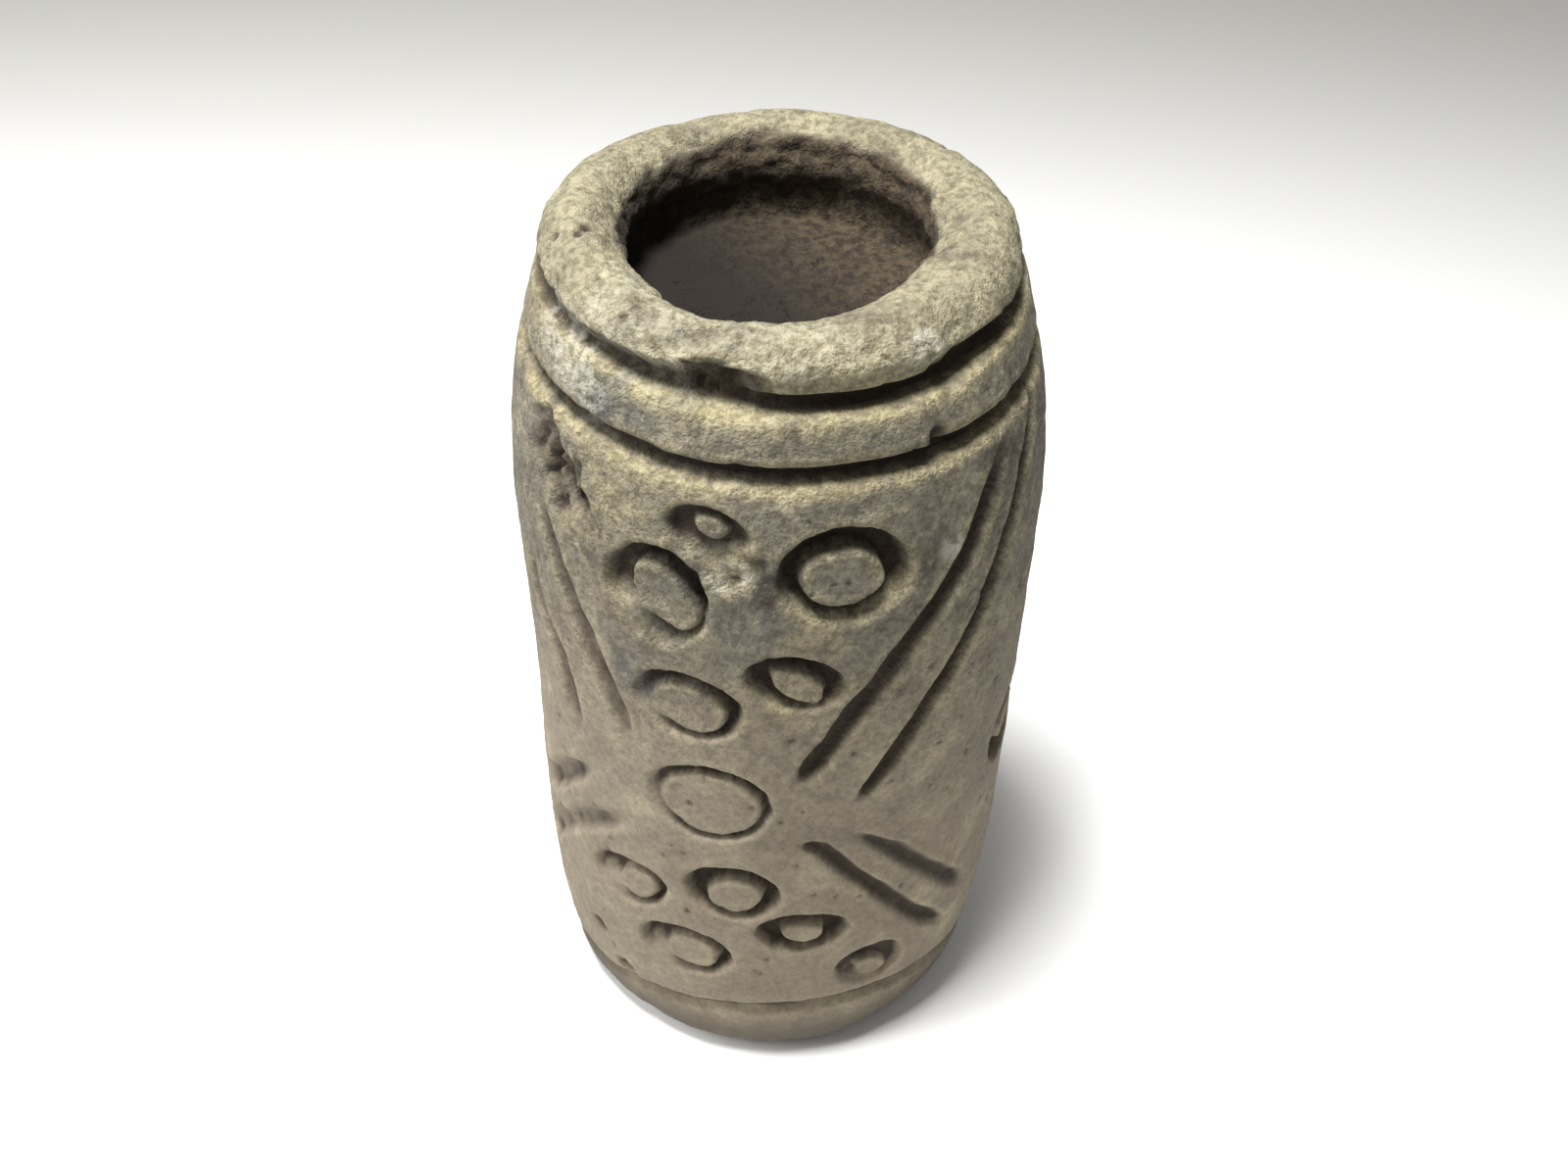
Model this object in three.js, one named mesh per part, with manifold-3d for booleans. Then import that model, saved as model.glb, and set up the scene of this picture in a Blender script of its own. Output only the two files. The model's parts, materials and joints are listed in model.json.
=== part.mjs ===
// Cylinder seal of fired clay, standing on its flat foot.
// A barrel with a rolled rim round a shallow recess, two cut lines under the rim and one above the foot,
// and an impressed design: dotted fields of reed rings between fields framed by pairs of slanting strokes.
// Millimetres, +Z up, origin at the middle of the foot. Azimuth 0 is +X, and the front field faces -Y.

import * as THREE from 'three';
import * as BufferGeometryUtils from 'three/addons/utils/BufferGeometryUtils.js';
import Module from 'manifold-3d';

const wasm = await Module();
wasm.setup();

// ---- Driving dimensions ----

const HEIGHT = 60;
const BODY_RADIUS = 16;

// The wall draws in above SHOULDER_START and below HEEL_START, and turns under at the heel.
const SHOULDER_START = 40;
const SHOULDER_END = 57;
const SHOULDER_DRAW = 2.75;
const SHOULDER_POWER = 2.3;
const HEEL_START = 14;
const HEEL_DRAW = 1.4;
const HEEL_TURN = 2.5;

// Rolled rim and the recess inside it.
const ROLL_RADIUS = 11.0;
const ROLL_OUTER = 2.3;
const ROLL_INNER = 2.5;
const ROLL_RISE = 2.7;
// The roll was pressed lower in front: azimuth of the lowest place, spread in degrees, drop in mm.
const ROLL_SAG = { azimuth: -94, spread: 60, drop: 1.0 };
const FLOOR_DEPTH = 6.1;
const RECESS_RADIUS = 9.3;
const RECESS_OFFSET = -0.4;

// Cut lines round the body: middle height, how far they wander, and their section.
const CUT_LINES = [
  { height: 5.6, wander: 1.6, crest: -80, depth: 0.55, width: 1.5 },
  { height: 52.7, wander: 0.3, crest: 0, depth: 0.95, width: 1.4 },
  { height: 56.5, wander: 0.55, crest: 10, depth: 1.0, width: 1.3 },
];
const WANDER_REACH = 3.4;

// Reed rings of the front field: where each is, its outer width and height, groove width and depth.
const FRONT_RINGS = [
  { azimuth: -101.5, height: 48.1, wide: 3.9, tall: 3.9, groove: 1.1, depth: 0.8 },
  { azimuth: -75.5, height: 45.9, wide: 6.8, tall: 5.9, groove: 1.4, depth: 1.1 },
  { azimuth: -115, height: 43.8, wide: 6.2, tall: 5.5, groove: 1.3, depth: 0.9 },
  { azimuth: -107.5, height: 36.2, wide: 6.0, tall: 5.6, groove: 1.3, depth: 0.9 },
  { azimuth: -85.5, height: 38.4, wide: 5.3, tall: 4.4, groove: 1.2, depth: 0.9 },
  { azimuth: -105.5, height: 28.3, wide: 8.0, tall: 7.0, groove: 1.4, depth: 0.7 },
  { azimuth: -125.5, height: 17.5, wide: 5.3, tall: 4.3, groove: 1.2, depth: 0.8 },
  { azimuth: -98.5, height: 19.6, wide: 6.0, tall: 5.0, groove: 1.4, depth: 0.9 },
  { azimuth: -111, height: 12.3, wide: 5.9, tall: 5.3, groove: 1.3, depth: 0.8 },
  { azimuth: -81, height: 15.8, wide: 5.9, tall: 4.3, groove: 1.2, depth: 0.8 },
  { azimuth: -62.5, height: 10.7, wide: 5.2, tall: 4.5, groove: 1.1, depth: 0.55 },
];

// The hidden field repeats the motif more plainly: rings in a zigzag up its middle.
const BACK_AZIMUTH = 80;
const BACK_RING = { wide: 5.6, tall: 5.2, groove: 1.3, depth: 0.8 };
const BACK_HEIGHTS = [12, 19, 27.5, 36, 44];
const BACK_SPREAD = 13;

// One ring in the middle of each framed side field.
const SIDE_RING = { height: 26, wide: 6.2, tall: 6.2, groove: 1.3, depth: 0.8 };
const SIDE_AZIMUTHS = [-16, 170];

// Slanting strokes, each a shallow bow drawn from one end to the other.
const FRONT_STROKES = [
  { from: [-38, 50.2], to: [-85.5, 30.2], bow: 0.8, width: 1.15, depth: 0.85 },
  { from: [-22, 51.5], to: [-71.5, 28.2], bow: -1.6, width: 1.1, depth: 0.85 },
  { from: [-84, 25.4], to: [-38, 10.4], bow: 0.6, width: 1.2, depth: 0.8 },
  { from: [-71.5, 25.4], to: [-34, 13.2], bow: 0.6, width: 1.2, depth: 0.8 },
  { from: [-156, 40.5], to: [-137.5, 28.8], bow: 0.9, width: 1.1, depth: 0.5 },
  { from: [-146, 45.5], to: [-122, 31.2], bow: 0.2, width: 1.1, depth: 0.55 },
  { from: [-162, 18.5], to: [-134.5, 26.6], bow: 0.3, width: 1.2, depth: 0.8 },
  { from: [-162, 13.5], to: [-123.5, 24.2], bow: 0.4, width: 1.2, depth: 0.8 },
];

// On the hidden side the same pairs of strokes face the front ones across each side field.
const BACK_STROKES = [
  { from: [20, 50], to: [56, 30], bow: -0.8, width: 1.1, depth: 0.7 },
  { from: [4, 51.5], to: [44, 28], bow: -1.2, width: 1.1, depth: 0.7 },
  { from: [56, 25.4], to: [18, 10.6], bow: 0.6, width: 1.2, depth: 0.7 },
  { from: [43, 25.4], to: [14, 13.4], bow: 0.6, width: 1.2, depth: 0.7 },
  { from: [136, 49.5], to: [104, 30], bow: -0.8, width: 1.1, depth: 0.7 },
  { from: [150, 50.5], to: [117, 28.5], bow: -1, width: 1.1, depth: 0.7 },
  { from: [104, 25.4], to: [142, 10.8], bow: 0.6, width: 1.2, depth: 0.7 },
  { from: [117, 25.4], to: [147, 13.6], bow: 0.6, width: 1.2, depth: 0.7 },
];

// How finely the solid is faceted.
const BODY_SIDES = 40;
const RECESS_SIDES = 36;
const WALL_STEP = 8;
const ROLL_STEPS = 6;
const RING_STEPS = 16;
const SECTION_SIDES = 6;
const STROKE_STEPS = 7;

// ---- Outline of the barrel ----

function radians(degrees) {
  return THREE.MathUtils.degToRad(degrees);
}

/** Radius of the plain wall at a height, with no cut lines. */
function wallRadius(z) {
  const shoulder = Math.max(0, (z - SHOULDER_START) / (SHOULDER_END - SHOULDER_START));
  const heel = Math.max(0, (HEEL_START - z) / HEEL_START);
  const lift = Math.max(0, HEEL_TURN - z);
  const turn = HEEL_TURN - Math.sqrt(HEEL_TURN ** 2 - lift ** 2);
  return BODY_RADIUS - SHOULDER_DRAW * shoulder ** SHOULDER_POWER - HEEL_DRAW * heel ** 2 - turn;
}

/** Heights of the outline's stations up the wall, closer together at the heel and each cut line. */
function wallStations() {
  const stations = [0, 0.35, 1.1, HEEL_TURN];
  for (const line of CUT_LINES) {
    const last = stations[stations.length - 1];
    const start = line.height - line.width / 2;
    const steps = Math.max(1, Math.round((start - last) / WALL_STEP));
    for (let i = 1; i < steps; i += 1) {
      stations.push(last + ((start - last) * i) / steps);
    }
    stations.push(start, line.height, line.height + line.width / 2);
  }
  return stations;
}

/** Depth of the cut lines at a height before they wander. */
function cutDepth(z) {
  const line = CUT_LINES.find((cut) => Math.abs(z - cut.height) < 0.01);
  return line ? line.depth : 0;
}

/** Outer solid: foot, wall with its cut lines, and the roll of the rim over to the axis. */
function barrelGeometry() {
  const outline = [new THREE.Vector2(0, 0)];
  for (const z of wallStations()) {
    outline.push(new THREE.Vector2(wallRadius(z) - cutDepth(z), z));
  }
  const rollHeight = HEIGHT - ROLL_RISE;
  for (let i = 1; i <= ROLL_STEPS; i += 1) {
    const turn = (Math.PI * i) / (2 * ROLL_STEPS);
    const r = ROLL_RADIUS + ROLL_OUTER * Math.cos(turn);
    outline.push(new THREE.Vector2(r, rollHeight + ROLL_RISE * Math.sin(turn)));
  }
  outline.push(new THREE.Vector2(0, HEIGHT));
  return new THREE.LatheGeometry(outline, BODY_SIDES).rotateX(Math.PI / 2);
}

/** The space in the rim: a flat floor, an undercut wall and the inner half of the roll. */
function recessGeometry() {
  const floor = HEIGHT - FLOOR_DEPTH;
  const lip = HEIGHT - ROLL_RISE;
  const outline = [
    new THREE.Vector2(0, floor),
    new THREE.Vector2(RECESS_RADIUS - 0.2, floor),
    new THREE.Vector2(RECESS_RADIUS, (floor * 2 + lip) / 3),
  ];
  for (let i = 0; i <= ROLL_STEPS; i += 1) {
    const turn = (Math.PI * i) / (2 * ROLL_STEPS);
    const r = ROLL_RADIUS - ROLL_INNER * Math.cos(turn);
    outline.push(new THREE.Vector2(r, lip + ROLL_RISE * Math.sin(turn)));
  }
  outline.push(new THREE.Vector2(ROLL_RADIUS, HEIGHT + 1), new THREE.Vector2(0, HEIGHT + 1));
  return new THREE.LatheGeometry(outline, RECESS_SIDES).rotateX(Math.PI / 2).translate(RECESS_OFFSET, 0, 0);
}

/** Lowers the rim's roll in front, and leaves everything below it alone. */
function sag(geometry) {
  const position = geometry.getAttribute('position');
  for (let i = 0; i < position.count; i += 1) {
    const [x, y, z] = [position.getX(i), position.getY(i), position.getZ(i)];
    const turn = THREE.MathUtils.radToDeg(Math.atan2(y, x)) - ROLL_SAG.azimuth;
    const away = ((turn + 540) % 360) - 180;
    const high = THREE.MathUtils.clamp((z - HEIGHT + ROLL_RISE) / ROLL_RISE, 0, 1);
    const out = Math.min(1, Math.hypot(x, y) / ROLL_RADIUS);
    position.setZ(i, z - ROLL_SAG.drop * high * out * Math.exp(-((away / ROLL_SAG.spread) ** 2)));
  }
  return geometry;
}

/** Lets each cut line rise and fall twice on its way round, as a hand-held tool leaves it. */
function wander(geometry) {
  const position = geometry.getAttribute('position');
  for (let i = 0; i < position.count; i += 1) {
    const azimuth = Math.atan2(position.getY(i), position.getX(i));
    const z = position.getZ(i);
    let shift = 0;
    for (const line of CUT_LINES) {
      const near = Math.max(0, 1 - Math.max(0, Math.abs(z - line.height) - line.width / 2) / WANDER_REACH);
      shift += near * line.wander * Math.cos(2 * (azimuth - radians(line.crest)));
    }
    const room = Math.min(1, z / HEEL_TURN, (HEIGHT - z) / ROLL_RISE);
    position.setZ(i, z + shift * room);
  }
  return geometry;
}

// ---- Cutters for the impressed design ----

/** Point at an azimuth, a height and a rise above the wall. */
function onWall(azimuth, z, rise) {
  const r = wallRadius(z) + rise;
  return new THREE.Vector3(r * Math.cos(azimuth), r * Math.sin(azimuth), z);
}

/** A hollow reed pressed into the wall: an oval ring whose groove keeps its depth round the curve. */
function ringCutter(ring) {
  const section = sectionRadius(ring);
  const rise = section - ring.depth;
  const torus = new THREE.TorusGeometry(1, 0.5, SECTION_SIDES, RING_STEPS);
  const position = torus.getAttribute('position');
  for (let i = 0; i < position.count; i += 1) {
    const x = position.getX(i);
    const y = position.getY(i);
    const along = Math.hypot(x, y);
    const outward = (along - 1) * 2 * section;
    const across = (x / along) * (ring.wide / 2 - ring.groove / 2) + (x / along) * outward;
    const up = (y / along) * (ring.tall / 2 - ring.groove / 2) + (y / along) * outward;
    const azimuth = radians(ring.azimuth) + across / BODY_RADIUS;
    const point = onWall(azimuth, ring.height + up, rise + position.getZ(i) * 2 * section);
    position.setXYZ(i, point.x, point.y, point.z);
  }
  return torus;
}

/** Radius of the round section that leaves a groove of a mark's width and depth. */
function sectionRadius(mark) {
  const width = mark.groove ?? mark.width;
  return ((width / 2) ** 2 + mark.depth ** 2) / (2 * mark.depth);
}

/** A stylus drawn over the wall: it dips in, keeps its depth and lifts out, so both ends taper. */
function strokeCutter(stroke) {
  const radius = sectionRadius(stroke);
  const deepest = radius - stroke.depth;
  const points = [];
  for (let i = 0; i <= STROKE_STEPS; i += 1) {
    const t = i / STROKE_STEPS;
    const azimuth = radians(THREE.MathUtils.lerp(stroke.from[0], stroke.to[0], t));
    const z = THREE.MathUtils.lerp(stroke.from[1], stroke.to[1], t) + stroke.bow * 4 * t * (1 - t);
    const lifted = THREE.MathUtils.smoothstep(Math.abs(t - 0.5), 0.3, 0.5);
    points.push(onWall(azimuth, z, THREE.MathUtils.lerp(deepest, radius + 0.1, lifted)));
  }
  const section = new THREE.Shape();
  for (let i = 0; i < SECTION_SIDES; i += 1) {
    const turn = (2 * Math.PI * i) / SECTION_SIDES;
    const place = [radius * Math.cos(turn), radius * Math.sin(turn)];
    if (i === 0) {
      section.moveTo(...place);
    } else {
      section.lineTo(...place);
    }
  }
  section.closePath();
  const extrudePath = new THREE.CatmullRomCurve3(points);
  return new THREE.ExtrudeGeometry(section, { steps: STROKE_STEPS, extrudePath, bevelEnabled: false });
}

/** Rings of the hidden field, stepping left and right of its middle line. */
function backRings() {
  return BACK_HEIGHTS.map((height, i) => {
    const side = i % 2 === 0 ? 1 : -1;
    const spread = (BACK_SPREAD * Math.abs(height - BACK_HEIGHTS[2])) / BACK_HEIGHTS[2];
    return { ...BACK_RING, height, azimuth: BACK_AZIMUTH + side * spread };
  });
}

/** Rings in the middle of the two framed side fields. */
function sideRings() {
  return SIDE_AZIMUTHS.map((azimuth) => ({ ...SIDE_RING, azimuth }));
}

// ---- Solids ----

/** A closed geometry as a solid that can be joined and cut. */
function toSolid(geometry) {
  const bare = geometry.index ? geometry.toNonIndexed() : geometry.clone();
  bare.deleteAttribute('normal');
  bare.deleteAttribute('uv');
  const merged = BufferGeometryUtils.mergeVertices(bare, 1e-4);
  const kept = dropSlivers(merged);
  return new wasm.Manifold(new wasm.Mesh({
    numProp: 3,
    vertProperties: new Float32Array(merged.getAttribute('position').array),
    triVerts: new Uint32Array(kept),
  }));
}

/** Indices without the flat triangles that a lathe leaves on its axis. */
function dropSlivers(geometry) {
  const index = geometry.index.array;
  const kept = [];
  for (let i = 0; i < index.length; i += 3) {
    const [a, b, c] = [index[i], index[i + 1], index[i + 2]];
    if (a !== b && b !== c && c !== a) {
      kept.push(a, b, c);
    }
  }
  return kept;
}

/** A solid back as a geometry with flat faces. */
function toGeometry(solid) {
  const mesh = solid.getMesh();
  const geometry = new THREE.BufferGeometry();
  geometry.setAttribute('position', new THREE.BufferAttribute(new Float32Array(mesh.vertProperties), 3));
  geometry.setIndex(new THREE.BufferAttribute(new Uint32Array(mesh.triVerts), 1));
  geometry.computeVertexNormals();
  return geometry;
}

function sealBody() {
  let body = toSolid(sag(wander(barrelGeometry()))).subtract(toSolid(sag(recessGeometry())));
  for (const ring of [...FRONT_RINGS, ...backRings(), ...sideRings()]) {
    body = body.subtract(toSolid(ringCutter(ring)));
  }
  for (const stroke of [...FRONT_STROKES, ...BACK_STROKES]) {
    body = body.subtract(toSolid(strokeCutter(stroke)));
  }
  const clay = new THREE.MeshStandardMaterial({ color: '#8f8672', roughness: 0.92, metalness: 0 });
  const mesh = new THREE.Mesh(toGeometry(body), clay);
  mesh.name = 'seal_body';
  return mesh;
}

const seal = new THREE.Group();
seal.add(sealBody());

export default seal;
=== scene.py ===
"""Looks of a fired-clay cylinder seal that stands on its foot.

The seal is one hand-built piece: a turned blank whose rim, cut lines, reed rings and stylus strokes
are pressed into its surface, then worn, pitted and stained, with painted shade in its hollows and recess
and painted light on the lit lower lips of its marks. Sizes are in millimetres and are turned
into metres where they reach Blender.
"""

import json
import logging
import math
from dataclasses import dataclass, field
from enum import Enum
from typing import Sequence

import bpy
import numpy as np
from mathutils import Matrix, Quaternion, Vector

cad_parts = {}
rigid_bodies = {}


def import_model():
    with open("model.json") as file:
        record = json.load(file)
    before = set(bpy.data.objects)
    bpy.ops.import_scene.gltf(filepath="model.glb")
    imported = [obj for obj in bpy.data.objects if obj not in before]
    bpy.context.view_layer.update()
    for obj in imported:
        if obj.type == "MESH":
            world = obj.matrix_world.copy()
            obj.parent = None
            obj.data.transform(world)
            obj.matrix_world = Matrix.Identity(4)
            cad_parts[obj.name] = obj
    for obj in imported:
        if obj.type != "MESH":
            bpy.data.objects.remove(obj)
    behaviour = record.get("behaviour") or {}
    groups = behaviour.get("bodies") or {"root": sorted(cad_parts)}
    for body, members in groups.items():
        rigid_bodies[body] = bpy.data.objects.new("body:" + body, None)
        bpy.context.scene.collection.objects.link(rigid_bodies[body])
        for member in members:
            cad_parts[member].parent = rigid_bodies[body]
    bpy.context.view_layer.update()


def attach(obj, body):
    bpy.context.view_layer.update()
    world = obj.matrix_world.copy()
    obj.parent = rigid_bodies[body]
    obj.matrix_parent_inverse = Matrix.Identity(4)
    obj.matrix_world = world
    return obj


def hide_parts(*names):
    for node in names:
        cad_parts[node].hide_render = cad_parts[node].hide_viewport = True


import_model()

LOG = logging.getLogger("cylinder_seal")
MM = 0.001
BODY_NODE = "seal_body"

Array = np.ndarray


# ---- Small helpers ----


def linear(hex_colour: str) -> tuple[float, float, float, float]:
    """Turns an sRGB hex colour into linear light.

    Args:
        hex_colour: Six hex digits after a hash sign.

    Returns:
        Red, green, blue and an alpha of one.
    """
    parts = [int(hex_colour[i : i + 2], 16) / 255 for i in (1, 3, 5)]
    red, green, blue = [p / 12.92 if p <= 0.04045 else ((p + 0.055) / 1.055) ** 2.4 for p in parts]
    return red, green, blue, 1.0


def smoothstep(low: float | Array, high: float | Array, value: Array) -> Array:
    """Rises smoothly from 0 at low to 1 at high."""
    t = np.clip((value - low) / (high - low), 0, 1)
    return t * t * (3 - 2 * t)


def turn_between(azimuth: Array, middle: float) -> Array:
    """Signed turn in degrees from a middle azimuth, from -180 to 180."""
    return (azimuth - middle + 180) % 360 - 180


def select_only(piece: bpy.types.Object) -> None:
    """Makes one object the only selected one, and the active one."""
    for other in bpy.context.view_layer.objects:
        other.select_set(other == piece)
    bpy.context.view_layer.objects.active = piece


class ClayNoise:
    """Seeded gradient noise in space, about -1 to 1."""

    def __init__(self, seed: int) -> None:
        """Draws the lattice's gradients.

        Args:
            seed: Any whole number; the same one gives the same noise.
        """
        draw = np.random.default_rng(seed)
        self.order = draw.permutation(512)
        gradients = draw.normal(size=(512, 3))
        self.gradients = gradients / np.linalg.norm(gradients, axis=1)[:, None]

    def at(self, points: Array, size: float | Sequence[float]) -> Array:
        """Noise at some points.

        Args:
            points: Positions in millimetres, one row each.
            size: Size of one lump in millimetres, or one size for each axis.

        Returns:
            One value for each point.
        """
        scaled = points / np.asarray(size)
        cell = np.floor(scaled).astype(np.int64)
        part = scaled - cell
        ease = part**3 * (part * (part * 6 - 15) + 10)
        total = np.zeros(len(points))
        for corner in np.ndindex(2, 2, 2):
            key = (cell + corner) % 512
            picked = self.order[(self.order[(self.order[key[:, 0]] + key[:, 1]) % 512] + key[:, 2]) % 512]
            dot = ((part - corner) * self.gradients[picked]).sum(1)
            weight = np.prod(np.where(np.array(corner) == 1, ease, 1 - ease), axis=1)
            total += dot * weight
        return total * 1.6

    def layered(self, points: Array, size: float, octaves: int) -> Array:
        """Noise with finer and weaker noise on top.

        Args:
            points: Positions in millimetres.
            size: Size of the largest lumps in millimetres.
            octaves: How many layers, each half the size of the one before.

        Returns:
            One value for each point.
        """
        total = np.zeros(len(points))
        for octave in range(octaves):
            total += self.at(points + 37.0 * octave, size / 2**octave) / 2**octave
        return total


# ---- Places on the seal ----


@dataclass(frozen=True)
class Barrel:
    """Plain outline of the seal, in millimetres."""

    height: float = 60.0
    radius: float = 16.0
    shoulder_start: float = 40.0
    shoulder_end: float = 57.0
    shoulder_draw: float = 2.75
    shoulder_power: float = 2.3
    heel_start: float = 14.0
    heel_draw: float = 1.4
    heel_turn: float = 2.5
    roll_radius: float = 11.0
    roll_outer: float = 2.3
    roll_inner: float = 2.5
    roll_rise: float = 2.7
    floor_depth: float = 6.1
    recess_radius: float = 9.3
    station: float = 0.226

    @property
    def lip(self) -> float:
        """Height of the mouth's narrowest ring."""
        return self.height - self.roll_rise

    @property
    def floor(self) -> float:
        """Height of the recess's floor."""
        return self.height - self.floor_depth

    def wall(self, z: Array) -> Array:
        """Radius of the wall at some heights."""
        z = np.asarray(z, float)
        shoulder = np.clip((z - self.shoulder_start) / (self.shoulder_end - self.shoulder_start), 0, None)
        heel = np.clip((self.heel_start - z) / self.heel_start, 0, 1)
        lift = np.clip(self.heel_turn - z, 0, self.heel_turn)
        turn = self.heel_turn - np.sqrt(self.heel_turn**2 - lift**2)
        drawn = self.shoulder_draw * shoulder**self.shoulder_power + self.heel_draw * heel**2
        return self.radius - drawn - turn

    def on_wall(self, azimuth: float, z: float) -> Array:
        """Point on the wall at an azimuth in degrees and a height."""
        r = float(self.wall(z))
        turn = math.radians(azimuth)
        return np.array([r * math.cos(turn), r * math.sin(turn), z])

    def on_roll(self, azimuth: float, over: float) -> Array:
        """Point on the rim's roll; over is 0 outside, 90 on the crest and 180 at the mouth."""
        half = self.roll_outer if over < 90 else self.roll_inner
        r = self.roll_radius + half * math.cos(math.radians(over))
        z = self.lip + self.roll_rise * math.sin(math.radians(over))
        turn = math.radians(azimuth)
        return np.array([r * math.cos(turn), r * math.sin(turn), z])

    def outline(self) -> list[tuple[float, float]]:
        """Radius and height of the outline's stations, from the foot's middle to the recess's."""
        corners = [(0.0, 0.0), (float(self.wall(0.0)), 0.0)]
        path = self.spread(corners, 2.7)
        for angle in np.linspace(0, math.pi / 2, 12)[1:]:
            z = self.heel_turn * (1 - math.cos(angle))
            path.append((float(self.wall(z)), z))
        rise = self.lip - 0.9 - self.heel_turn
        for z in self.heel_turn + np.linspace(0, rise, round(rise / self.station))[1:]:
            path.append((float(self.wall(z)), float(z)))
        for over in np.linspace(0, 180, 36):
            half = self.roll_outer if over < 90 else self.roll_inner
            r = self.roll_radius + half * math.cos(math.radians(over))
            path.append((r, self.lip + self.roll_rise * math.sin(math.radians(over))))
        corners = [(8.6, self.lip - 0.5), (self.recess_radius, 55.6), (9.25, 54.5), (8.95, self.floor)]
        path += self.spread(corners, 0.22)
        path += self.spread([(8.75, self.floor), (0.0, self.floor)], 0.55)
        return path

    @staticmethod
    def spread(corners: Sequence[tuple[float, float]], step: float) -> list[tuple[float, float]]:
        """Points a step apart along straight stretches.

        Args:
            corners: The ends of the stretches, as radius and height.
            step: Distance between points in millimetres.

        Returns:
            The points, both ends among them.
        """
        points = [corners[0]]
        for (r0, z0), (r1, z1) in zip(corners, corners[1:]):
            count = max(1, round(math.hypot(r1 - r0, z1 - z0) / step))
            for i in range(1, count + 1):
                points.append((r0 + (r1 - r0) * i / count, z0 + (z1 - z0) * i / count))
        return points


@dataclass
class Skin:
    """The blank's vertices as the marks see them, and what they leave on it.

    Attributes:
        points: Positions in millimetres.
        azimuth: Degrees round the axis from +X.
        along: Arc in millimetres round the wall at its full radius.
        z: Heights.
        wall: 1 on the outer wall, falling to 0 over the rim.
        roll: 1 on the rim's roll.
        inside: 1 in the recess.
        relief: Rise along the normal so far, in millimetres.
        stain, wear, ash, lime, ochre: How strongly each tint lies, 0 to 1; the stain also carries painted shade in
            hollows and cuts, and the ochre painted light on lit lower lips.
    """

    points: Array
    azimuth: Array
    along: Array
    z: Array
    wall: Array
    roll: Array
    inside: Array
    relief: Array
    stain: Array
    wear: Array
    ash: Array
    lime: Array
    ochre: Array

    @classmethod
    def of(cls, points: Array, barrel: Barrel) -> "Skin":
        """Reads the vertices of a turned blank.

        Args:
            points: Positions in millimetres.
            barrel: The outline that the blank was turned from.

        Returns:
            A skin with no relief yet.
        """
        azimuth = np.degrees(np.arctan2(points[:, 1], points[:, 0]))
        radius = np.hypot(points[:, 0], points[:, 1])
        z = points[:, 2]
        outer = (radius > barrel.roll_radius) & (z > 0.01)
        wall = np.where(outer, 1 - smoothstep(barrel.lip, barrel.lip + 1.2, z), 0.0)
        roll = smoothstep(barrel.lip - 1.0, barrel.lip + 0.4, z)
        # The recess mask runs up the back of the mouth, so its dark soil colour also paints the shade under the rear
        # rim.
        rear = np.exp(-((turn_between(azimuth, 85) / 62) ** 2))
        ragged = z + 0.5 * ClayNoise(3).layered(points, 2.2, 3) - 0.95 * rear
        inside = 1 - smoothstep(barrel.lip + 0.8, barrel.lip + 1.45, ragged)
        inside = np.where(radius < barrel.roll_radius, inside, 0.0)
        inside = np.where(z < barrel.floor - 1, 0.0, inside)
        blank = [np.zeros(len(points)) for _ in range(6)]
        return cls(points, azimuth, np.radians(azimuth) * barrel.radius, z, wall, roll, inside, *blank)

    def near(self, centre: Array, radius: float) -> Array:
        """Indices of the vertices within a radius of a point."""
        gap = self.points - centre
        return np.nonzero((gap * gap).sum(1) < radius * radius)[0]


# ---- Marks pressed and cut into the clay ----


@dataclass(frozen=True)
class Neighbours:
    """Who lies next to whom in a mesh, as the two ends of every edge."""

    start: Array
    stop: Array
    count: Array

    @classmethod
    def of(cls, mesh: bpy.types.Mesh) -> "Neighbours":
        """Reads a mesh's edges."""
        edges = np.zeros(len(mesh.edges) * 2, np.int64)
        mesh.edges.foreach_get("vertices", edges)
        start, stop = edges.reshape(-1, 2).T
        size = len(mesh.vertices)
        return cls(start, stop, np.bincount(start, minlength=size) + np.bincount(stop, minlength=size))

    def mean(self, values: Array) -> Array:
        """Mean of each vertex's neighbours."""
        size = len(self.count)
        total = np.bincount(self.start, values[self.stop], size)
        total += np.bincount(self.stop, values[self.start], size)
        return total / self.count


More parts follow.
